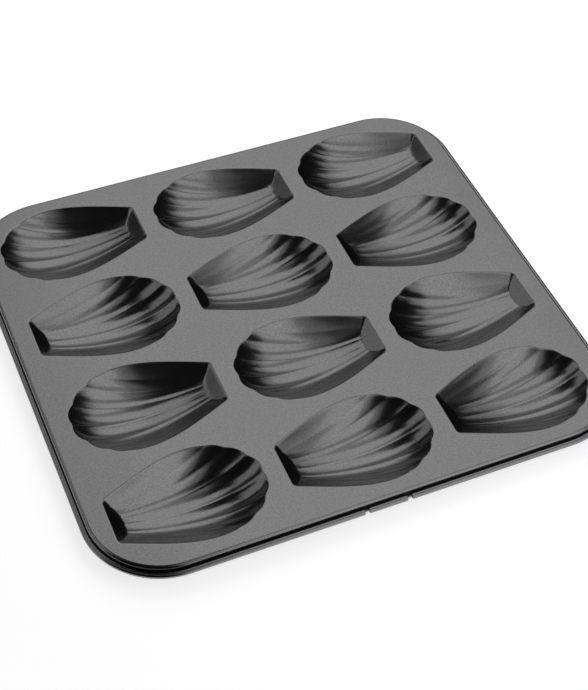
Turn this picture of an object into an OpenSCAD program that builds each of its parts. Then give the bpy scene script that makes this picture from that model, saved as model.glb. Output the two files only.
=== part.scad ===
// Madeleine pan: one pressed steel sheet with shell-shaped cups, a bent skirt and a rolled edge.
// Units are millimetres. The middle of the pan is at x = 0, y = 0 and the cups stand on z = 0.
// The rows run from a at the back to d at the front, and the columns from 1 at the left to 3.

/* [Deck] */
// Flat sheet between the cups of one row, end to end
column_gap = 9.8; // [4:0.1:20]
// Flat sheet between two rows, at the cups' widest
row_gap = 8.3; // [3:0.1:20]
// Flat sheet between the ends of the cups and the skirt
end_margin = 11.4; // [6:0.1:30]
// Flat sheet between the outer rows and the skirt
side_margin = 8.9; // [6:0.1:30]
// Radius of the deck's four corners, seen from above
corner_radius = 29; // [18:1:40]
// Thickness of the steel sheet
sheet = 0.6; // [0.4:0.05:0.8]

/* [Skirt and rolled edge] */
// Outer radius of the bend from the deck into the skirt
bend_radius = 1.9; // [1.3:0.1:3]
// Height from the deck's top to the top of the flange
edge_drop = 3.1; // [3.1:0.1:9]
// Radius of the upper side of the bend from the skirt into the flange
foot_radius = 0.6; // [0.3:0.1:1]
// Width of the flat flange between the foot bend and the roll
flange_width = 0.9; // [0.2:0.1:5]
// Outer radius of the rolled edge
roll_radius = 1.2; // [1:0.05:2.5]
// How far the roll turns, from straight outwards
roll_turn = 270; // [180:5:300]
// Width of a notch in the flange and the roll
notch_width = 2.8; // [1:0.1:5]
// Distance between the middles of the two notches of one side
notch_spacing = 22.8; // [12:0.2:60]

/* [Cup rim] */
// Distance from the cup's middle to its flat end
flat_reach = 39.6; // [37:0.1:41]
// Width of the flat end, between its two corners before rounding
flat_width = 26.2; // [20:0.2:30]
// Radius of the two corners of the flat end
flat_corner = 3; // [1:0.1:4.5]
// Angle between a flank's start and the cup's axis
flank_angle = 22; // [16:1:28]
// Angle between a flank's end and the cup's axis
flank_close = 17; // [8:1:24]
// Length of the two handles that shape a flank
flank_handle = 18; // [14:0.5:22]
// Distance from the cup's middle to the rim's middle ridge
shell_reach = 38.7; // [36:0.1:40]
// Distance from the cup's middle to the centre of the scalloped arc
arc_centre = 3; // [0:0.5:8]
// Half width of the scalloped arc at its centre
arc_half_width = 27.9; // [25:0.1:28.5]
// Angle of the first pair of ridges on the scalloped arc
ridge_angle_1 = 26.5; // [22:0.5:30]
// Angle of the second pair of ridges on the scalloped arc
ridge_angle_2 = 49.6; // [44:0.1:54]
// Angle of the third pair of ridges on the scalloped arc
ridge_angle_3 = 67.4; // [62:0.1:72]
// Bulge of the two middle lobes beyond the line between their ridges
lobe_bulge_1 = 1.9; // [0.4:0.1:2.6]
// Bulge of the next two lobes
lobe_bulge_2 = 1.4; // [0.3:0.1:2.2]
// Bulge of the outer two lobes
lobe_bulge_3 = 0.9; // [0.2:0.1:1.6]

/* [Cup hollow] */
// Slope of the wall at the flat end, from level
wall_slope = 48; // [40:1:65]
// Depth of the middle ridge at the foot of that wall
wall_depth = 7; // [5:0.1:9]
// Depth of the outer ridges at the foot of that wall
wall_side_depth = 4.3; // [3:0.1:5.5]
// Half width of the wall's foot, between the outer ridges
wall_spread = 10; // [7:0.1:11]
// Slope of the middle ridge where it leaves the wall
ridge_dive = 16; // [8:1:22]
// Slope of the outer ridges where they leave the wall
ridge_dive_side = 9; // [4:1:14]
// Slope of the ridges where they reach the rim
ridge_rise = 37; // [28:1:46]
// Depth of a flute below the line between its two ridges
flute_depth = 1.3; // [0.5:0.1:2]
// The same depth at the foot of the wall
flute_wall_depth = 0.35; // [0.1:0.05:0.8]
// Depth of the long flute along each flank
side_flute_depth = 0.8; // [0.2:0.1:1.6]

/* [Hidden] */
coating = [0.34, 0.34, 0.35];
arc_fn = 96;

// Shares of a ridge's length that its two handles take, and where a flute reaches its full depth
start_handle = 0.42;
end_handle = 0.28;
flute_ramp = 0.38;
// How fast the ridges' depth at the wall falls off towards the sides
wall_falloff = 2.6;

// Facets across one flute, and rows from the wall to the rim
facets = 3;
rows = 10;
// Eight flutes lie between nine lines: the outer rim lines are number 4 on either side
outer = 4;
lines = 2 * outer * facets;

ridge_angles = [0, ridge_angle_1, ridge_angle_2, ridge_angle_3];
lobe_bulges = [lobe_bulge_1, lobe_bulge_2, lobe_bulge_3];
arc_length = shell_reach - arc_centre;

function unit(v) = v / norm(v);
function mix(a, b, t) = (1 - t) * a + t * b;
function side_of(k) = k < 0 ? -1 : 1;
function bezier(a, b, c, d, u) =
    pow(1 - u, 3) * a + 3 * pow(1 - u, 2) * u * b + 3 * (1 - u) * u * u * c + pow(u, 3) * d;

// The flat end's corner, rounded: where the flat stops and where the flank starts
corner_cut = flat_corner * tan((90 - flank_angle) / 2);
flat_half = flat_width / 2 - corner_cut;
flank_start = [-flat_reach + corner_cut * cos(flank_angle), flat_width / 2 + corner_cut * sin(flank_angle), 0];

// Where ridge m meets the rim
function cusp(m) = [arc_centre + arc_length * cos(ridge_angles[m]), arc_half_width * sin(ridge_angles[m]), 0];

// Where ridge m leaves the wall at the flat end
function wall_foot_depth(m) = mix(wall_depth, wall_side_depth, pow(m / 3, wall_falloff));
function wall_foot(m) =
    [-flat_reach + wall_foot_depth(m) / tan(wall_slope), wall_spread * m / 3, -wall_foot_depth(m)];

// Ridge m lies in one upright plane between those two points
function ridge(m, u) =
    let (
        a = wall_foot(m),
        d = cusp(m),
        plan = [d[0] - a[0], d[1] - a[1], 0],
        dive = mix(ridge_dive, ridge_dive_side, m / 3),
        b = a + start_handle * (plan * cos(dive) - [0, 0, norm(plan) * sin(dive)]),
        c = d - end_handle * (plan * cos(ridge_rise) + [0, 0, norm(plan) * sin(ridge_rise)])
    )
    bezier(a, b, c, d, u);

// The rim along a flank, from the flat end's corner to the third ridge
function flank_rim(u) =
    let (d = cusp(3))
    bezier(
        flank_start,
        flank_start + flank_handle * [cos(flank_angle), sin(flank_angle), 0],
        d + flank_handle * [-cos(flank_close), sin(flank_close), 0],
        d,
        u
    );

// Line k of the cup: a ridge from -3 to 3, or the rim of a flank at -4 and 4
function rib(k, u) =
    let (p = abs(k) == outer ? flank_rim(u) : ridge(abs(k), u))
    [p[0], side_of(k) * p[1], p[2]];

// Direction in which flute k, between line k and line k + 1, sinks below its chord
function sink_direction(k, u) =
    let (
        before = max(u - 0.02, 0),
        after = min(u + 0.02, 1),
        along = rib(k, after) + rib(k + 1, after) - rib(k, before) - rib(k + 1, before),
        across = rib(k + 1, min(u, 0.98)) - rib(k, min(u, 0.98)),
        n = unit(cross(along, across))
    )
    n[2] < 0 ? n : -n;

// Level direction in which lobe k bulges at the rim
function bulge_direction(k) =
    let (middle = (rib(k, 1) + rib(k + 1, 1)) / 2)
    unit([(middle[0] - arc_centre) / pow(arc_length, 2), middle[1] / pow(arc_half_width, 2), 0]);

function is_flank(k) = k == -outer || k == outer - 1;
function ramp(u) = sin(90 * min(1, u / flute_ramp));

function sink(k, u) =
    is_flank(k)
        ? mix(flute_wall_depth, side_flute_depth, ramp(u)) * sin(180 * min(1, (1 - u) / 0.6) / 2)
            * sink_direction(k, u)
        : (1 - pow(u, 3)) * mix(flute_wall_depth, flute_depth, ramp(u)) * sink_direction(k, u)
            + pow(u, 3) * lobe_bulges[min(abs(k), abs(k + 1))] * bulge_direction(k);

// Point of the cup's inner face: flute k, share t across it, share u from the wall to the rim
function cup_point(k, t, u) = mix(rib(k, u), rib(k + 1, u), t) + 4 * t * (1 - t) * sink(k, u);

// The flat end's rim, from one flank to the other, with its two round corners
function corner_point(t) =
    let (turn = t * (90 - flank_angle))
    [-flat_reach + flat_corner * (1 - cos(turn)), flat_half + flat_corner * sin(turn), 0];
function flat_rim(v) =
    abs(v) <= 3
        ? [-flat_reach, v / 3 * flat_half, 0]
        : let (p = corner_point(abs(v) - 3)) [p[0], side_of(v) * p[1], 0];

// Inner face as a grid: row 0 is the flat end's rim, row 1 the wall's foot, the last the scallops
function grid_point(i, j) =
    let (
        v = j / facets - outer,
        k = min(floor(v), outer - 1)
    )
    i == 0 ? flat_rim(v) : cup_point(k, v - k, (i - 1) / rows);
last_row = rows + 1;
inner_face = [for (i = [0:last_row]) [for (j = [0:lines]) grid_point(i, j)]];

// A grid place's number. The places that share one point, at the rim, share its number.
function place(i, j) =
    i == last_row && j < facets ? place(i, facets)
    : i == last_row && j > lines - facets ? place(i, lines - facets)
    : i == 0 && (j == 0 || j == lines) ? place(1, j)
    : i * (lines + 1) + j;

function on_rim(i, j) = i == 0 || i == last_row || j == 0 || j == lines;

// The outer face lies one sheet thickness outside, and straight below at the rim
function outward(i, j) =
    let (
        along = inner_face[min(i + 1, last_row)][j] - inner_face[max(i - 1, 0)][j],
        across = inner_face[i][min(j + 1, lines)] - inner_face[i][max(j - 1, 0)],
        n = unit(cross(along, across))
    )
    n[2] < 0 ? n : -n;
outer_face = [for (i = [0:last_row]) [for (j = [0:lines])
    inner_face[i][j] + sheet * (on_rim(i, j) ? [0, 0, -1] : outward(i, j))]];

face_size = (last_row + 1) * (lines + 1);
cup_points = concat([for (row = inner_face) each row], [for (row = outer_face) each row]);
cup_depth = -min([for (p = cup_points) p[2]]);

// The places round the rim, clockwise from above
rim_places = concat(
    [for (j = [0:lines - 1]) [0, j]],
    [for (i = [1:last_row - 1]) [i, lines]],
    [for (j = [lines - facets:-1:facets + 1]) [last_row, j]],
    [[last_row, facets]],
    [for (i = [last_row - 1:-1:2]) [i, 0]]
);
rim_outline = [for (p = rim_places) [inner_face[p[0]][p[1]][0], inner_face[p[0]][p[1]][1]]];

function whole(f) = f[0] != f[1] && f[1] != f[2] && f[0] != f[2];
function two_triangles(a, b, c, d, flip) = flip ? [[a, b, d], [b, c, d]] : [[a, b, c], [a, c, d]];
inner_triangles = [for (i = [0:last_row - 1]) for (j = [0:lines - 1])
    for (f = two_triangles(place(i, j), place(i, j + 1), place(i + 1, j + 1), place(i + 1, j), j < lines / 2))
        if (whole(f)) f];
outer_triangles = [for (f = inner_triangles) [f[2] + face_size, f[1] + face_size, f[0] + face_size]];
rim_numbers = [for (p = rim_places) place(p[0], p[1])];
rim_triangles = [for (n = [0:len(rim_numbers) - 1])
    let (
        p = rim_numbers[n],
        q = rim_numbers[(n + 1) % len(rim_numbers)]
    )
    for (f = two_triangles(p, p + face_size, q + face_size, q, false)) f];
cup_triangles = concat(inner_triangles, outer_triangles, rim_triangles);

// Height of the deck's top above the surface that the cups stand on
deck_top = cup_depth;

// The grid's pitches follow from the size of a cup and the gaps
cup_reach = max([for (p = rim_outline) abs(p[0])]);
cup_half_width = max([for (p = rim_outline) p[1]]);
column_pitch = 2 * cup_reach + column_gap;
row_pitch = 2 * cup_half_width + row_gap;
half_length = column_pitch + cup_reach + end_margin;
half_width = 1.5 * row_pitch + cup_half_width + side_margin;

// Rows b and d have their flat ends at the left, rows a and c at the right
function row_y(row) = (1.5 - row) * row_pitch;
function column_x(column) = (column - 1) * column_pitch;
function row_turn(row) = row % 2 == 0 ? 180 : 0;

module at_cup(row, column) {
    translate([column_x(column), row_y(row), 0])
        rotate([0, 0, row_turn(row)])
            children();
}

module shell_cup(row, column) {
    color(coating)
        translate([0, 0, deck_top])
            at_cup(row, column)
                polyhedron(cup_points, cup_triangles);
}

// The deck stops where the skirt's bend starts
module deck_outline() {
    half_x = half_length - corner_radius;
    half_y = half_width - corner_radius;
    radius = corner_radius - bend_radius;
    for (x = [-half_x, half_x])
        for (y = [-half_y, half_y])
            translate([x, y])
                circle(r = radius, $fn = arc_fn);
    square([2 * (half_x + radius), 2 * half_y], center = true);
    square([2 * half_x, 2 * (half_y + radius)], center = true);
}

module deck() {
    color(coating)
        translate([0, 0, deck_top - sheet])
            linear_extrude(sheet)
                difference() {
                    deck_outline();
                    for (row = [0:3])
                        for (column = [0:2])
                            at_cup(row, column)
                                polygon(rim_outline);
                }
}

// Points of an arc, from one angle to another
function arc(centre, radius, from, to, steps) =
    [for (n = [0:steps]) centre + radius * [cos(mix(from, to, n / steps)), sin(mix(from, to, n / steps))]];

// The edge's section: x runs outwards from the skirt's outer face, y up from the deck's top
foot_x = foot_radius;
roll_x = foot_x + flange_width;
roll_y = -edge_drop - roll_radius;

module skirt_section() {
    bend = [-bend_radius, -bend_radius];
    foot = [foot_x, -edge_drop + foot_radius];
    polygon(concat(
        arc(bend, bend_radius, 90, 0, 8),
        arc(foot, foot_radius, 180, 270, 6),
        arc(foot, foot_radius + sheet, 270, 180, 6),
        arc(bend, bend_radius - sheet, 0, 90, 8)
    ));
}

module rolled_edge_section() {
    roll = [roll_x, roll_y];
    polygon(concat(
        [[foot_x, -edge_drop]],
        arc(roll, roll_radius, 90, 90 - roll_turn, 24),
        arc(roll, roll_radius - sheet, 90 - roll_turn, 90, 24),
        [[foot_x, -edge_drop - sheet]]
    ));
}

// A straight run of a section on one side: 0 right, 1 back, 2 left, 3 front
function side_half(side) = side % 2 == 0 ? half_length : half_width;
function side_end(side) = (side % 2 == 0 ? half_width : half_length) - corner_radius;

module straight_run(side, from, to) {
    rotate([0, 0, 90 * side])
        translate([side_half(side), to, deck_top])
            rotate([90, 0, 0])
                linear_extrude(to - from)
                    children();
}

// The corner at the end of a side
module corner_run(side) {
    rotate([0, 0, 90 * side])
        translate([side_half(side) - corner_radius, side_end(side), deck_top])
            rotate_extrude(angle = 90, $fn = arc_fn)
                translate([corner_radius, 0])
                    children();
}

module skirt() {
    color(coating)
        for (side = [0:3]) {
            straight_run(side, -side_end(side), side_end(side))
                skirt_section();
            corner_run(side)
                skirt_section();
        }
}

notch_inner = (notch_spacing - notch_width) / 2;
notch_outer = (notch_spacing + notch_width) / 2;

// The roll round the right end of the pan, from a front notch to a back one
module rolled_edge_right() {
    color(coating) {
        straight_run(3, notch_outer, side_end(3))
            rolled_edge_section();
        corner_run(3)
            rolled_edge_section();
        straight_run(0, -side_end(0), side_end(0))
            rolled_edge_section();
        corner_run(0)
            rolled_edge_section();
        straight_run(1, -side_end(1), -notch_outer)
            rolled_edge_section();
    }
}

module rolled_edge_left() {
    rotate([0, 0, 180])
        rolled_edge_right();
}

// The short roll between the two notches of one side
module rolled_edge_middle(side) {
    color(coating)
        straight_run(side, -notch_inner, notch_inner)
            rolled_edge_section();
}

deck();
skirt();
rolled_edge_left();
rolled_edge_right();
rolled_edge_middle(3);  // rolled_edge_front
rolled_edge_middle(1);  // rolled_edge_back
shell_cup(0, 0);  // shell_cup_a1
shell_cup(0, 1);  // shell_cup_a2
shell_cup(0, 2);  // shell_cup_a3
shell_cup(1, 0);  // shell_cup_b1
shell_cup(1, 1);  // shell_cup_b2
shell_cup(1, 2);  // shell_cup_b3
shell_cup(2, 0);  // shell_cup_c1
shell_cup(2, 1);  // shell_cup_c2
shell_cup(2, 2);  // shell_cup_c3
shell_cup(3, 0);  // shell_cup_d1
shell_cup(3, 1);  // shell_cup_d2
shell_cup(3, 2);  // shell_cup_d3
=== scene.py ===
import math

import bmesh
import bpy
import numpy as np
from mathutils import Matrix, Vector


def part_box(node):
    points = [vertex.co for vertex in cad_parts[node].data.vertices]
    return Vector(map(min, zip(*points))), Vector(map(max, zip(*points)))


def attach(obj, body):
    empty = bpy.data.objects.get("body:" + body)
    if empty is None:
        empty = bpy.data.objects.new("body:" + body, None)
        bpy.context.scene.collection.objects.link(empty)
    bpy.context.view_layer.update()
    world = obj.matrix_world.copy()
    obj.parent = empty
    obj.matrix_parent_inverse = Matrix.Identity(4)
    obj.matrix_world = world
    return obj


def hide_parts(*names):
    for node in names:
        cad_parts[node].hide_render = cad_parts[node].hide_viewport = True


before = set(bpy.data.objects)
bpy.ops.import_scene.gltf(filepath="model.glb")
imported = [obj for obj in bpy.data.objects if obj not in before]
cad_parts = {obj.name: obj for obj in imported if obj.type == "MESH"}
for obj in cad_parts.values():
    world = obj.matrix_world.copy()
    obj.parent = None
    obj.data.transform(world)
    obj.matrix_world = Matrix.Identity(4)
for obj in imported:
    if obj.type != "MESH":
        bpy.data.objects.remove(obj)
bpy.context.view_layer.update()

MM = 0.001

# Sizes in millimetres. They are the CAD source's, but the corners and the inside of a cup follow
# the photograph more closely than the source does.
sheet = 0.6
corner_radius = 38.0
bend_radius, edge_drop, foot_radius = 1.9, 3.1, 0.6
flange_width, roll_radius, roll_turn = 0.9, 1.2, 270.0
notch_width, notch_spacing = 2.8, 22.8
column_gap, end_margin = 9.8, 11.4

# A cup's rim: the straight end, the two flanks and the scalloped end
flat_reach, flat_width, flat_corner = 39.6, 26.2, 3.0
flank_angle, flank_close, flank_handle = math.radians(22), math.radians(17), 18.0
shell_reach, arc_centre, arc_half_width = 38.7, 3.0, 27.9
ridge_angles = [0.0, math.radians(26.5), math.radians(49.6), math.radians(67.4)]
lobe_bulges = [1.9, 1.4, 0.9]

# A cup's inside. Ridges from the middle outwards: place and depth at the straight wall's foot,
# and slope at both ends. The handles are shares of a ridge's run in plan.
wall_slope = math.radians(43.5)
foot_sides = [0.0, 4.4, 6.8, 9.5]
foot_depths = [6.2, 5.9, 5.3, 3.45]
ridge_dives = [math.radians(a) for a in (17.5, 17.8, 14.7, 7.5)]
ridge_rises = [math.radians(a) for a in (42.4, 40, 31.5, 24.8)]
start_handle, end_handle = 0.39, 0.305

# Flutes from the middle outwards: depth at the wall's foot, a third, two thirds and the rim.
# A lobe takes over from its flute near the rim, the later the higher its power.
flute_depths = [(0.4, 0.5, 1.38, 2.6), (0.2, 0.5, 0.87, 1.1),
                (0.15, 0.15, 0.53, 0.42), (0.05, 0.2, 0.18, 0.0)]
lobe_power = 9.0
flute_power = 2.0

# The sheet's bends: share of a flute taken by the round crest, half depth of the rim's bend,
# length of the bend at the wall's foot and its largest share of the wall, and the width of the
# level ring that ends a cup
crest = 0.07
rim_bend = 0.65
foot_bend, foot_bend_share = 0.9, 0.3
level_ring = 0.35

# Ribs are numbered from -outer to outer: the two outermost are the flanks' rims, the rest ridges
outer = 4

# Steps of a cup's mesh: across a flute and a flank, down the wall, round its foot, along a rib.
# The wall's steps are given as shares of wall_span, where the bend at its foot starts.
flute_shares = [0, 0.035, 0.07, 0.12, 0.2, 0.3, 0.4, 0.5, 0.6, 0.7, 0.8, 0.88, 0.93, 0.965]
flank_shares = [0, 0.02, 0.04, 0.065, 0.095, 0.13, 0.17, 0.22, 0.3, 0.4, 0.5, 0.6, 0.7, 0.8,
                0.88, 0.93, 0.965]
wall_span = 0.85
wall_steps = np.array([0, 0.025, 0.05, 0.08, 0.12, 0.18, 0.3, 0.5, 0.7]) / wall_span
bend_steps = np.array([0.0, 0.25, 0.5, 0.75])
rib_steps = np.concatenate([[0.0115, 0.02, 0.035, 0.055], np.linspace(0.08, 0.9, 34),
                            [0.915, 0.93, 0.943, 0.955, 0.965, 0.973, 0.98, 0.985, 0.989, 0.993,
                             0.9965, 1.0]])
# Along a rib: half of the step that gives its direction, and where a flute leaves the wall's plane
direction_step, wall_plane_end = 0.02, 0.08
# The rim's slope, kept within bounds and evened out over its neighbours
least_slope, most_slope, slope_rounds = 0.5, 1.5, 12
# Steps of the edge: round a corner, the length of one on a straight side, and round the section
corner_steps, straight_step = 24, 12.0
bend_arc_steps, foot_arc_steps, roll_arc_steps = 14, 8, 40
# Points of a rim closer than this fall together
least_gap = 1e-4

arc_length = shell_reach - arc_centre
corner_cut = flat_corner * math.tan((math.pi / 2 - flank_angle) / 2)
flat_half = flat_width / 2 - corner_cut
flank_start = np.array([-flat_reach + corner_cut * math.cos(flank_angle),
                        flat_width / 2 + corner_cut * math.sin(flank_angle), 0.0])


def mix(a, b, t):
    return (1 - t) * a + t * b


def unit(v):
    return v / np.maximum(np.linalg.norm(v, axis=-1, keepdims=True), 1e-9)


def bezier(a, b, c, d, u):
    u = np.asarray(u, float)[..., None]
    return (1 - u) ** 3 * a + 3 * (1 - u) ** 2 * u * b + 3 * (1 - u) * u * u * c + u ** 3 * d


# A cup's form: x runs from the straight wall to the scalloped end, and the rim lies at z = 0
def cusp(m):
    return np.array([arc_centre + arc_length * math.cos(ridge_angles[m]),
                     arc_half_width * math.sin(ridge_angles[m]), 0.0])


def wall_foot(m):
    depth = foot_depths[m]
    return np.array([-flat_reach + depth / math.tan(wall_slope), foot_sides[m], -depth])


def ridge(m, u):
    a, d = wall_foot(m), cusp(m)
    plan = np.array([d[0] - a[0], d[1] - a[1], 0.0])
    run = np.linalg.norm(plan)
    dive, rise = ridge_dives[m], ridge_rises[m]
    b = a + start_handle * (plan * math.cos(dive) - np.array([0, 0, run * math.sin(dive)]))
    c = d - end_handle * (plan * math.cos(rise) + np.array([0, 0, run * math.sin(rise)]))
    return bezier(a, b, c, d, u)


def flank_rim(u):
    d = cusp(outer - 1)
    leave = np.array([math.cos(flank_angle), math.sin(flank_angle), 0])
    arrive = np.array([-math.cos(flank_close), math.sin(flank_close), 0])
    return bezier(flank_start, flank_start + flank_handle * leave, d + flank_handle * arrive, d, u)


def rib(k, u):
    line = flank_rim(u) if abs(k) == outer else ridge(abs(k), u)
    return line * np.array([1, -1 if k < 0 else 1, 1])


def along_flute(depths, u):
    """The cubic through four depths at the start, a third, two thirds and the end."""
    a, b, c, d = depths
    x = 3 * u
    return (-a * (x - 1) * (x - 2) * (x - 3) / 6 + b * x * (x - 2) * (x - 3) / 2
            - c * x * (x - 1) * (x - 3) / 2 + d * x * (x - 1) * (x - 2) / 6)


def sink(k, u):
    """How far the middle of flute k lies off the ribs' mean: into its hollow, and into its lobe."""
    before, after = np.maximum(u - direction_step, 0), np.minimum(u + direction_step, 1)
    inner = np.minimum(u, 1 - direction_step)
    along = rib(k, after) + rib(k + 1, after) - rib(k, before) - rib(k + 1, before)
    n = unit(np.cross(along, rib(k + 1, inner) - rib(k, inner)))
    n = np.where(n[..., 2:3] < 0, n, -n)
    # At the wall's foot a flute sinks in the wall's own plane, so that the wall stays flat
    down = np.array([math.cos(wall_slope), 0, -math.sin(wall_slope)])
    free = np.clip(u / wall_plane_end, 0, 1)
    free = (free * free * (3 - 2 * free))[..., None]
    n = unit((1 - free) * down + free * n)
    depth = along_flute(flute_depths[max(abs(k), abs(k + 1)) - 1], u)[..., None]
    if k in (-outer, outer - 1):
        return depth * n, np.zeros_like(n)
    middle = (rib(k, np.array([1.0])) + rib(k + 1, np.array([1.0])))[0] / 2
    out = unit(np.array([(middle[0] - arc_centre) / arc_length ** 2,
                         middle[1] / arc_half_width ** 2, 0]))
    end = (u ** lobe_power)[..., None]
    return (1 - end) * depth * n, end * lobe_bulges[min(abs(k), abs(k + 1))] * out


def section(t, power):
    """A flute's section, round at its two crests: 0 at a crest and 1 at the middle."""
    def rise(q):
        slope = 2 * power * (1 - 2 * crest) ** (power - 1)
        if q < crest:
            return slope * q * q / (2 * crest)
        return slope * crest / 2 + (1 - 2 * crest) ** power - (1 - 2 * q) ** power
    return rise(min(t, 1 - t)) / rise(0.5)


def cup_line(k, t, u):
    hollow, lobe = sink(k, u)
    return (mix(rib(k, u), rib(k + 1, u), t) + section(t, flute_power) * hollow
            + section(t, 2) * lobe)


def flat_rim(v):
    """The straight end of the rim with its round corners, for v from -outer to outer."""
    last_ridge = outer - 1
    if abs(v) <= last_ridge:
        return np.array([-flat_reach, v / last_ridge * flat_half, 0.0])
    turn = (abs(v) - last_ridge) * (math.pi / 2 - flank_angle)
    y = flat_half + flat_corner * math.sin(turn)
    return np.array([-flat_reach + flat_corner * (1 - math.cos(turn)), -y if v < 0 else y, 0.0])


def bent(z):
    """Depth after the rim's bend: level outside it, the cup's own slope inside it."""
    d = -z
    return -np.where(d < -rim_bend, 0.0,
                     np.where(d > rim_bend, d, (d + rim_bend) ** 2 / (4 * rim_bend)))


# A cup's mesh
def normals_of(points, faces):
    a, b, c, d = (points[faces[:, i]] for i in range(4))
    n = np.cross(c - a, d - b)
    out = np.zeros_like(points)
    for i in range(4):
        np.add.at(out, faces[:, i], n)
    return unit(out)


def cup_columns():
    """Each column of a cup's grid: the rib before it, and its share of the way to the next."""
    columns = []
    for k in range(-outer, outer):
        shares = flute_shares
        if k == -outer:
            shares = flank_shares
        if k == outer - 1:
            shares = [0] + [1 - t for t in flank_shares[:0:-1]]
        columns += [(k, t) for t in shares]
    return columns + [(outer - 1, 1.0)]


def cup_grid(columns):
    """Rows of points down the straight wall, round its foot and along the ribs."""
    grid = []
    for k, t in columns:
        line = cup_line(k, t, np.concatenate([[0.0], rib_steps]))
        top, foot, after = flat_rim(k + t), line[0], line[1]
        wall = max(np.linalg.norm(top - foot), 1e-6)
        before = mix(foot, top, min(foot_bend / wall, foot_bend_share))
        rows = [mix(top, before, s) for s in wall_steps]
        rows += [(1 - s) ** 2 * before + 2 * s * (1 - s) * foot + s * s * after
                 for s in bend_steps]
        grid.append(np.concatenate([rows, line[1:]]))
    return np.array(grid).transpose(1, 0, 2)


def rim_loop(points, number):
    """The grid's border, without places that fall together."""
    height, width = number.shape
    loop = [number[0, j] for j in range(width)]
    loop += [number[i, width - 1] for i in range(1, height)]
    loop += [number[height - 1, j] for j in range(width - 2, -1, -1)]
    loop += [number[i, 0] for i in range(height - 2, 0, -1)]
    clean = []
    for p in loop:
        if clean and (p == clean[-1] or np.linalg.norm(points[p] - points[clean[-1]]) <= least_gap):
            continue
        clean.append(p)
    return np.array(clean)


def rim_rings(points, loop, facing):
    """Rings that carry the rim's bend out to the deck. The last one is level."""
    rim = points[loop]
    ahead, behind = unit(np.roll(rim, -1, 0) - rim), unit(rim - np.roll(rim, 1, 0))
    tangent = unit(ahead + behind)
    out = np.stack([tangent[:, 1], -tangent[:, 0], np.zeros(len(rim))], 1)
    if ((rim - rim.mean(0)) * out).sum() < 0:
        out = -out
    slope = np.linalg.norm(facing[loop, :2], axis=1) / np.maximum(facing[loop, 2], 0.05)
    slope = np.clip(slope, least_slope, most_slope)
    for _ in range(slope_rounds):
        slope = (np.roll(slope, 1) + slope + np.roll(slope, -1)) / 3
    reach = (rim_bend / slope)[:, None]
    rings = []
    for share, level in ((0.25, 0), (0.5, 0), (0.75, 0), (1.0, 0), (1.0, level_ring)):
        ring = rim + out * (reach * share + level)
        ring[:, 2] = rim_bend * share
        rings.append(ring)
    return rings


def cup_mesh():
    """One cup with its rim's bend and level ring. Returns the mesh and the ring's outline."""
    columns = cup_columns()
    grid = cup_grid(columns)
    height, width = grid.shape[:2]
    number = np.arange(height * width).reshape(height, width)

    # Where the grid closes to a point, its places share one number
    last, foot = height - 1, len(wall_steps) + len(bend_steps)
    start, end = columns.index((1 - outer, 0)), columns.index((outer - 1, 0))
    number[last, :start] = number[last, start]
    number[last, end + 1:] = number[last, end]
    for side, corner in ((0, -outer), (width - 1, outer)):
        number[:foot, side] = number[0, side]
        grid[:foot, side] = flat_rim(corner)
    points = grid.reshape(-1, 3)
    quads = np.array([[number[i, j], number[i, j + 1], number[i + 1, j + 1], number[i + 1, j]]
                      for i in range(last) for j in range(width - 1)])
    facing = normals_of(points, quads)
    if facing[:, 2].sum() < 0:
        quads, facing = quads[:, ::-1], -facing

    loop = rim_loop(points, number)
    rings = rim_rings(points, loop, facing)
    faces, below, count = list(map(tuple, quads)), loop, len(points)
    for ring in rings:
        above = count + np.arange(len(ring))
        count += len(ring)
        for i in range(len(ring)):
            j = (i + 1) % len(ring)
            faces.append((below[i], below[j], above[j], above[i]))
        below = above
    points = np.concatenate([points] + rings)
    points[:, 2] = bent(points[:, 2])

    # Each face is turned to look up before the under skin is made from it
    faces = np.array(faces)
    look = np.cross(points[faces[:, 2]] - points[faces[:, 0]],
                    points[faces[:, 3]] - points[faces[:, 1]])[:, 2]
    faces = np.where(look[:, None] < 0, faces[:, ::-1], faces)
    under = points - sheet * normals_of(points, faces)
    top = [tuple(dict.fromkeys(f)) for f in faces.tolist()]
    top = [f for f in top if len(f) > 2]
    low = [tuple(i + count for i in reversed(f)) for f in top]
    n = len(below)
    band = [(2 * count + i, 2 * count + (i + 1) % n, 2 * count + n + (i + 1) % n, 2 * count + n + i)
            for i in range(n)]
    vertices = np.concatenate([points, under, points[below], under[below]])
    mesh = bpy.data.meshes.new("cup")
    mesh.from_pydata((vertices * MM).tolist(), [], top + low + band)
    mesh.shade_smooth()
    return mesh, points[below, :2]


cup, cup_outline = cup_mesh()

# The places of the cups and the deck's own size
deck_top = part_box("deck")[1].z / MM
column_pitch = 2 * flat_reach + column_gap
half_length = column_pitch + flat_reach + end_margin
row_pitch = (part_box("shell_cup_a1")[1].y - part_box("shell_cup_b1")[1].y) / MM
half_width = (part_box("deck")[1].y) / MM + bend_radius


def row_y(row):
    return (1.5 - row) * row_pitch


def column_x(column):
    return (column - 1) * column_pitch


def row_turn(row):
    return math.pi if row % 2 == 0 else 0.0


def add_piece(name, mesh):
    piece = bpy.data.objects.new(name, mesh)
    bpy.context.scene.collection.objects.link(piece)
    return piece


def finish_piece(piece, *nodes):
    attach(piece, "root")
    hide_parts(*nodes)


# Nodes of the materials. A value given to them is a number, a colour or another node's socket.
def feed(tree, socket, value):
    if isinstance(value, bpy.types.NodeSocket):
        tree.links.new(value, socket)
    else:
        socket.default_value = value


def texture(tree, kind, vector, **inputs):
    n = tree.nodes.new(kind)
    feed(tree, n.inputs["Vector"], vector)
    for key, value in inputs.items():
        n.inputs[key].default_value = value
    return n


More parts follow.
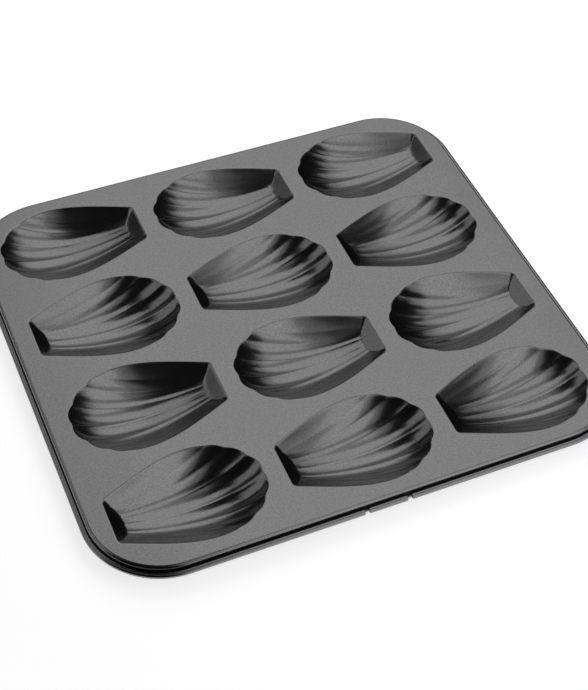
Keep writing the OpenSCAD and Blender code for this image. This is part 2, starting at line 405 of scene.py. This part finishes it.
def map_range(tree, value, start, stop, low=0.0, high=1.0, smooth=False):
    n = tree.nodes.new("ShaderNodeMapRange")
    if smooth:
        n.interpolation_type = "SMOOTHSTEP"
    for key, given in (("Value", value), ("From Min", start), ("From Max", stop),
                       ("To Min", low), ("To Max", high)):
        feed(tree, n.inputs[key], given)
    return n.outputs["Result"]


def maths(tree, operation, *values, clamp=False):
    n = tree.nodes.new("ShaderNodeMath")
    n.operation = operation
    n.use_clamp = clamp
    for socket, value in zip(n.inputs, values):
        feed(tree, socket, value)
    return n.outputs["Value"]


def vector_maths(tree, operation, *values):
    n = tree.nodes.new("ShaderNodeVectorMath")
    n.operation = operation
    for socket, value in zip(n.inputs, values):
        feed(tree, socket, value)
    return n.outputs["Value" if operation == "LENGTH" else "Vector"]


def blend(tree, factor, a, b):
    n = tree.nodes.new("ShaderNodeMix")
    n.data_type = "RGBA"
    for key, given in (("Factor", factor), ("A", a), ("B", b)):
        feed(tree, n.inputs[key], given)
    return n.outputs["Result"]


def new_material(name):
    material = bpy.data.materials.new(name)
    material.use_nodes = True
    tree = material.node_tree
    return material, tree, tree.nodes["Principled BSDF"]


# The coating: dark grey, with a fine grain, flakes and clouds in its gloss
grey_low, grey_high = (0.215, 0.215, 0.220, 1), (0.280, 0.280, 0.284, 1)
grain_range, cloud_range, roughness_range = (0.35, 0.65), (0.3, 0.7), (0.17, 0.22)
flake_share, bump_strength, bump_depth = 0.6, 0.25, 0.00003
# Painted shade in the skirt's fold: its all but black grey, and where it begins and ends below the
# deck's top
painted_fold_shade_grey, painted_shade_bottom, painted_shade_top = (0.006, 0.006, 0.006, 1), 1.15, 0.85


def coating_material(name, painted_fold_shade=False):
    material, tree, shader = new_material(name)
    shader.inputs["Metallic"].default_value = 1.0
    place = tree.nodes.new("ShaderNodeTexCoord").outputs["Object"]
    grain = texture(tree, "ShaderNodeTexNoise", place, Scale=1400.0, Detail=3.0, Roughness=0.6)
    cloud = texture(tree, "ShaderNodeTexNoise", place, Scale=45.0, Detail=4.0, Roughness=0.55)
    flake = texture(tree, "ShaderNodeTexVoronoi", place, Scale=1900.0)

    tone = blend(tree, map_range(tree, grain.outputs["Fac"], *grain_range), grey_low, grey_high)
    if painted_fold_shade:
        # The skirt and the lip see only each other, so their fold is dark; this is painted shade, a
        # base colour all but black
        split = tree.nodes.new("ShaderNodeSeparateXYZ")
        feed(tree, split.inputs[0], place)
        above = map_range(tree, split.outputs["Z"],
                          (deck_top - painted_shade_bottom) * MM, (deck_top - painted_shade_top) * MM)
        tone = blend(tree, above, painted_fold_shade_grey, tone)
    feed(tree, shader.inputs["Base Color"], tone)
    feed(tree, shader.inputs["Roughness"],
         map_range(tree, cloud.outputs["Fac"], *cloud_range, *roughness_range))

    bump = tree.nodes.new("ShaderNodeBump")
    bump.inputs["Strength"].default_value = bump_strength
    bump.inputs["Distance"].default_value = bump_depth
    feed(tree, bump.inputs["Height"],
         maths(tree, "MULTIPLY_ADD", flake.outputs["Distance"], flake_share, grain.outputs["Fac"]))
    feed(tree, shader.inputs["Normal"], bump.outputs["Normal"])
    return material


coating = coating_material("coating")
# The skirt's coating, with painted shade in its fold
coating_painted_fold_shade = coating_material("coating_painted_fold_shade", painted_fold_shade=True)
cup.materials.append(coating)
for row, letter in enumerate("abcd"):
    for column in range(3):
        piece = add_piece(f"cup_{letter}{column + 1}", cup)
        place = (column_x(column) * MM, row_y(row) * MM, deck_top * MM)
        piece.matrix_world = Matrix.Translation(place) @ Matrix.Rotation(row_turn(row), 4, "Z")
        finish_piece(piece, f"shell_cup_{letter}{column + 1}")


# Stations round the edge: a point on the skirt's outline and its outward direction.
# The sides are 0 right, 1 back, 2 left and 3 front, and each corner follows its side.
def corner_stations(side, inset=0.0):
    hx, hy = half_length - corner_radius, half_width - corner_radius
    cx, cy = [(hx, hy), (-hx, hy), (-hx, -hy), (hx, -hy)][side]
    radius = corner_radius - inset
    out = []
    for i in range(corner_steps + 1):
        a = math.pi / 2 * (side + i / corner_steps)
        out.append((cx + radius * math.cos(a), cy + radius * math.sin(a), math.cos(a), math.sin(a)))
    return out


def straight_stations(side, start, stop):
    half = half_length if side % 2 == 0 else half_width
    c, s = [(1, 0), (0, 1), (-1, 0), (0, -1)][side]
    count = max(2, int(abs(stop - start) / straight_step) + 1)
    places = [mix(start, stop, i / count) for i in range(count + 1)]
    return [(c * half - s * along, s * half + c * along, c, s) for along in places]


def side_end(side):
    return (half_width if side % 2 == 0 else half_length) - corner_radius


# Deck: one flat sheet with the cups' outlines cut out
def deck_outlines():
    outlines = [[(x, y) for side in range(4) for x, y, c, s in corner_stations(side, bend_radius)]]
    for row in range(4):
        for column in range(3):
            sign = -1 if row_turn(row) else 1
            outlines.append([(column_x(column) + sign * x, row_y(row) + sign * y)
                             for x, y in cup_outline])
    return outlines


def deck_mesh():
    outlines = deck_outlines()
    work = bmesh.new()

    def ring(outline, z):
        return [work.verts.new((x * MM, y * MM, z * MM)) for x, y in outline]

    edges = []
    for outline in outlines:
        corners = ring(outline, deck_top)
        edges += [work.edges.new((a, b)) for a, b in zip(corners, corners[1:] + corners[:1])]
    bmesh.ops.triangle_fill(work, use_beauty=True, use_dissolve=False, edges=edges,
                            normal=(0, 0, 1))
    top = list(work.faces)
    for face in top:
        if face.normal.z < 0:
            face.normal_flip()
    made = bmesh.ops.duplicate(work, geom=list(work.verts) + list(work.edges) + top)["geom"]
    for part in made:
        if isinstance(part, bmesh.types.BMVert):
            part.co.z -= sheet * MM
        elif isinstance(part, bmesh.types.BMFace):
            part.normal_flip()
    # The cut faces have points of their own, so that their edges stay sharp
    for outline in outlines:
        high, deep = ring(outline, deck_top), ring(outline, deck_top - sheet)
        for i in range(len(high)):
            j = (i + 1) % len(high)
            work.faces.new((high[i], deep[i], deep[j], high[j]))
    mesh = bpy.data.meshes.new("deck")
    work.to_mesh(mesh)
    work.free()
    mesh.materials.append(coating)
    return mesh


finish_piece(add_piece("deck_sheet", deck_mesh()), "deck")


# Edge sections: x outwards from the skirt's face, y up from the deck's top
def arc(centre, radius, start, stop, steps):
    angles = [math.radians(mix(start, stop, i / steps)) for i in range(steps + 1)]
    return [(centre[0] + radius * math.cos(a), centre[1] + radius * math.sin(a)) for a in angles]


def closed_section(face, back):
    """A sheet's section as four lines, which share no points, so that its edges stay sharp."""
    return [face, [face[-1], back[0]], back, [back[-1], face[0]]]


def swept(section_lines, stations, closed):
    """Vertices and faces of a section's lines, swept through the stations."""
    vertices, faces = [], []
    for line in section_lines:
        base, n = len(vertices), len(line)
        for x, y, c, s in stations:
            vertices += [((x + c * px) * MM, (y + s * px) * MM, (deck_top + py) * MM)
                         for px, py in line]
        for i in range(len(stations) if closed else len(stations) - 1):
            a, b = base + i * n, base + ((i + 1) % len(stations)) * n
            faces += [(a + p, b + p, b + p + 1, a + p + 1) for p in range(n - 1)]
    return vertices, faces


def add_swept(piece_name, mesh_name, vertices, faces, material, *nodes):
    mesh = bpy.data.meshes.new(mesh_name)
    mesh.from_pydata(vertices, [], faces)
    mesh.shade_smooth()
    mesh.materials.append(material)
    finish_piece(add_piece(piece_name, mesh), *nodes)


def without_repeats(line):
    return [p for i, p in enumerate(line) if i == 0 or math.dist(p, line[i - 1]) > 1e-6]


# Skirt: the bend at the deck, the face and the foot
whole_edge = []
for side in range(4):
    whole_edge += straight_stations(side, -side_end(side), side_end(side))[:-1]
    whole_edge += corner_stations(side)[:-1]
bend = (-bend_radius, -bend_radius)
foot = (foot_radius, -edge_drop + foot_radius)
skirt_top = without_repeats(arc(bend, bend_radius, 90, 0, bend_arc_steps)
                            + arc(foot, foot_radius, 180, 270, foot_arc_steps))
skirt_low = without_repeats(arc(foot, foot_radius + sheet, 270, 180, foot_arc_steps)
                            + arc(bend, bend_radius - sheet, 0, 90, bend_arc_steps))
vertices, faces = swept(closed_section(skirt_top, skirt_low), whole_edge, True)
# The skirt carries the coating with painted shade in its fold
add_swept("skirt_band", "skirt", vertices, faces, coating_painted_fold_shade, "skirt")

# Lip: a flange with a shallow crease, which turns down into an open roll. The crease is given by
# its shares of the flange and its depths.
crease = [(foot_radius + flange_width * share, -edge_drop - depth) for share, depth in
          ((0, 0), (0.35, 0), (0.5, 0.05), (0.65, 0.22), (0.75, 0.25), (0.85, 0.2), (0.95, 0.03))]
roll = (foot_radius + flange_width, -edge_drop - roll_radius)
roll_out = crease + arc(roll, roll_radius, 90, 90 - roll_turn, roll_arc_steps)
roll_in = arc(roll, roll_radius - sheet, 90 - roll_turn, 90, roll_arc_steps)
roll_in += [(x, -edge_drop - sheet) for x, y in crease[::-1]]
notch_inner, notch_outer = (notch_spacing - notch_width) / 2, (notch_spacing + notch_width) / 2


def rolled_edge(name, stations, *nodes):
    vertices, faces = swept(closed_section(roll_out, roll_in), stations, False)
    # A flat cap at each end
    n = len(roll_out)
    for index in (0, -1):
        x, y, c, s = stations[index]
        base = len(vertices)
        for px, py in roll_out + roll_in[::-1]:
            vertices.append(((x + c * px) * MM, (y + s * px) * MM, (deck_top + py) * MM))
        cap = [(base + i, base + i + 1, base + n + i + 1, base + n + i) for i in range(n - 1)]
        faces += cap if index == 0 else [f[::-1] for f in cap]
    add_swept(name, name, vertices, faces, coating, *nodes)


right = (straight_stations(3, notch_outer, side_end(3))[:-1] + corner_stations(3)[:-1]
         + straight_stations(0, -side_end(0), side_end(0))[:-1] + corner_stations(0)[:-1]
         + straight_stations(1, -side_end(1), -notch_outer))
left = [(-x, -y, -c, -s) for x, y, c, s in right]
rolled_edge("lip_right", right, "rolled_edge_right")
rolled_edge("lip_left", left, "rolled_edge_left")
rolled_edge("lip_front", straight_stations(3, -notch_inner, notch_inner), "rolled_edge_front")
rolled_edge("lip_back", straight_stations(1, -notch_inner, notch_inner), "rolled_edge_back")


# Floor: white, and it keeps the pan's shadow. Sizes in metres, distances from the pan's middle.
floor_half = 40.0
near_floor, far_floor, near_level = 0.2, 0.6, 0.74
# The floor's grey, and the all but black grey of the painted shadow under the pan
floor_grey, painted_shadow_grey = (0.8, 0.8, 0.8, 1), (0.06, 0.06, 0.06, 1)
# Where the shadow under the pan, partly painted, begins to fade and ends, in millimetres inside the
# outline
cover_full, cover_end = 5.2, 2.8


def floor_material():
    material, tree, shader = new_material("floor")
    shader.inputs["Roughness"].default_value = 0.9
    shader.inputs["Specular IOR Level"].default_value = 0.0
    shader.inputs["Emission Color"].default_value = (1, 1, 1, 1)
    rays = tree.nodes.new("ShaderNodeLightPath").outputs
    place = tree.nodes.new("ShaderNodeNewGeometry").outputs["Position"]
    level = map_range(tree, vector_maths(tree, "LENGTH", place), near_floor, far_floor,
                      near_level, 1.0, smooth=True)
    mirrored = maths(tree, "MAXIMUM", rays["Is Glossy Ray"], rays["Is Transmission Ray"])
    seen = maths(tree, "ADD", rays["Is Camera Ray"], mirrored, clamp=True)
    strength = maths(tree, "MULTIPLY", seen, level)

    # Under the pan, to just inside its rounded outline, which is found from the distance to the
    # corners' centres, the floor's glow stops so that the pan's own shadow shows, and its colour
    # turns all but black, which is painted shadow
    corner = ((half_length - corner_radius) * MM, (half_width - corner_radius) * MM, 0)
    past = vector_maths(tree, "SUBTRACT", vector_maths(tree, "ABSOLUTE", place), corner)
    past = vector_maths(tree, "LENGTH", vector_maths(tree, "MAXIMUM", past, (0, 0, 0)))
    shadow_under_pan = map_range(tree, past, (corner_radius - cover_full) * MM,
                        (corner_radius - cover_end) * MM, 1.0, 0.0, smooth=True)
    feed(tree, shader.inputs["Emission Strength"],
         maths(tree, "MULTIPLY", strength, maths(tree, "SUBTRACT", 1.0, shadow_under_pan)))
    # Painted shadow: the floor's colour is all but black under the pan
    feed(tree, shader.inputs["Base Color"], blend(tree, shadow_under_pan, floor_grey, painted_shadow_grey))
    return material


mesh = bpy.data.meshes.new("floor")
mesh.from_pydata([(-floor_half, -floor_half, 0), (floor_half, -floor_half, 0),
                  (floor_half, floor_half, 0), (-floor_half, floor_half, 0)], [], [(0, 1, 2, 3)])
mesh.materials.append(floor_material())
floor = bpy.data.objects.new("floor", mesh)
bpy.context.scene.collection.objects.link(floor)

# Lamps: level softboxes above the pan. Each has its sides in x and in y, in metres, and its
# level, where 1 is as bright as a white card.
lamp_height = 0.61
softboxes = [
    (0.0, 0.55, 0.06, 0.9, 0.86), (-0.19, 0.0, 0.16, 0.85, 0.72), (-0.33, -0.19, 0.33, 0.75, 0.48),
    (0.55, 0.78, 0.06, 0.9, 0.48), (0.06, 0.55, -0.19, 0.06, 0.5), (-0.04, 0.06, -0.19, 0.06, 0.22),
    (0.05, 0.55, -0.85, -0.19, 0.86), (-0.09, 0.05, -0.85, -0.19, 0.33),
    (0.55, 0.8, -0.85, -0.3, 0.45), (0.2, 2.2, -5.0, -0.85, 1.0), (0.05, 0.2, -5.0, -0.85, 0.45),
    (-0.06, 0.52, 0.9, 1.4, 0.48), (0.52, 0.85, 0.9, 1.4, 0.28), (-0.2, -0.06, 0.85, 1.4, 0.22),
    (-0.05, 1.4, 1.4, 2.3, 0.28), (-0.05, 2.0, 2.3, 5.0, 0.14), (-1.0, -0.36, -0.02, 0.95, 0.4),
    (-6.0, -1.0, -0.1, 1.35, 0.43)]
for number, (x0, x1, y0, y1, level) in enumerate(softboxes):
    name = f"softbox_{number + 1}"
    lamp = bpy.data.lights.new(name, "AREA")
    lamp.shape = "RECTANGLE"
    lamp.size, lamp.size_y = x1 - x0, y1 - y0
    lamp.energy = math.pi * level * (x1 - x0) * (y1 - y0)
    holder = bpy.data.objects.new(name, lamp)
    holder.location = ((x0 + x1) / 2, (y0 + y1) / 2, lamp_height)
    holder.visible_camera = False
    bpy.context.scene.collection.objects.link(holder)

world = bpy.data.worlds.new("room")
world.use_nodes = True
world.node_tree.nodes["Background"].inputs["Color"].default_value = (0.01, 0.01, 0.01, 1)
bpy.context.scene.world = world

# Camera, at the photograph's viewing angle: it looks at a place on the deck's top, in metres
azimuth, elevation, roll_angle = math.radians(-24.294), math.radians(48.476), math.radians(2.059)
distance, aim_x, aim_y = 0.79747, -0.00435, -0.02321
back = np.array([math.sin(azimuth) * math.cos(elevation),
                 -math.cos(azimuth) * math.cos(elevation), math.sin(elevation)])
across = np.array([math.cos(azimuth), math.sin(azimuth), 0.0])
upward = np.cross(back, across)
x_axis = math.cos(roll_angle) * across + math.sin(roll_angle) * upward
y_axis = -math.sin(roll_angle) * across + math.cos(roll_angle) * upward
spot = np.array([aim_x, aim_y, deck_top * MM]) + distance * back
lens = bpy.data.cameras.new("camera")
lens.lens = 79.496
lens.clip_start, lens.clip_end = 0.05, 100
camera = bpy.data.objects.new("camera", lens)
camera.matrix_world = Matrix([*zip(x_axis, y_axis, back, spot), (0, 0, 0, 1)])
bpy.context.scene.collection.objects.link(camera)
bpy.context.scene.camera = camera
bpy.context.scene.view_settings.view_transform = "Standard"
